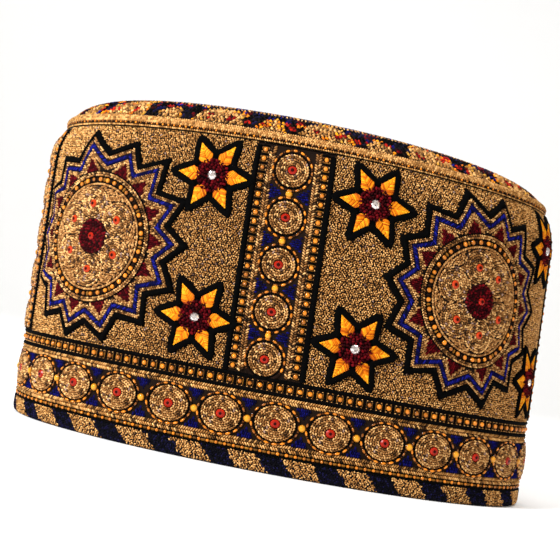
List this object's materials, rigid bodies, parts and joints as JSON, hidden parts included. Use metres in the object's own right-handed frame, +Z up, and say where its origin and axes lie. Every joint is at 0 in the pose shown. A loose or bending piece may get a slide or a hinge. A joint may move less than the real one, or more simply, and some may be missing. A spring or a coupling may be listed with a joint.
{
  "type": "balochi cap",
  "caption": "Tall oval balochi cap of gold-embroidered cotton, with star medallions, flowers, upright roundel bands, a roundel border, gold piping and a striped hem.",
  "frame": {"origin": "centre of the cap's overall box in plan, on the surface that the hem rests on", "axes": "+Z up through the crown, +X to the wearer's left along the long way of the oval (right in the picture), -Y out of the front band"},
  "size_m": [0.2151, 0.1308, 0.1323],
  "materials": {
    "gold_cloth": "cotton covered with gold seed stitches",
    "striped_hem": "slanted navy and gold satin stitch",
    "crown_embroidery": "gold, navy and red embroidery",
    "gold_piping": "couched gold braid",
    "roundel_embroidery": "coiled gold thread with red stones",
    "star_embroidery": "black, blue, maroon and gold stitches with stones",
    "flower_embroidery": "yellow satin stitch edged in black, with a clear stone"
  },
  "bodies": {
    "root": {"side_wall": "gold_cloth", "hem_band": "striped_hem", "crown": "crown_embroidery", "crown_piping": "gold_piping", "roundel_border": "roundel_embroidery", "band_front": "roundel_embroidery", "band_right": "roundel_embroidery", "band_back": "roundel_embroidery", "band_left": "roundel_embroidery", "star_front_right": "star_embroidery", "star_back_right": "star_embroidery", "star_back_left": "star_embroidery", "star_front_left": "star_embroidery", "flower_left_upper": "flower_embroidery", "flower_left_lower": "flower_embroidery", "flower_right_upper": "flower_embroidery", "flower_right_lower": "flower_embroidery", "flower_side_upper": "flower_embroidery", "flower_side_lower": "flower_embroidery"}
  },
  "joints": []
}
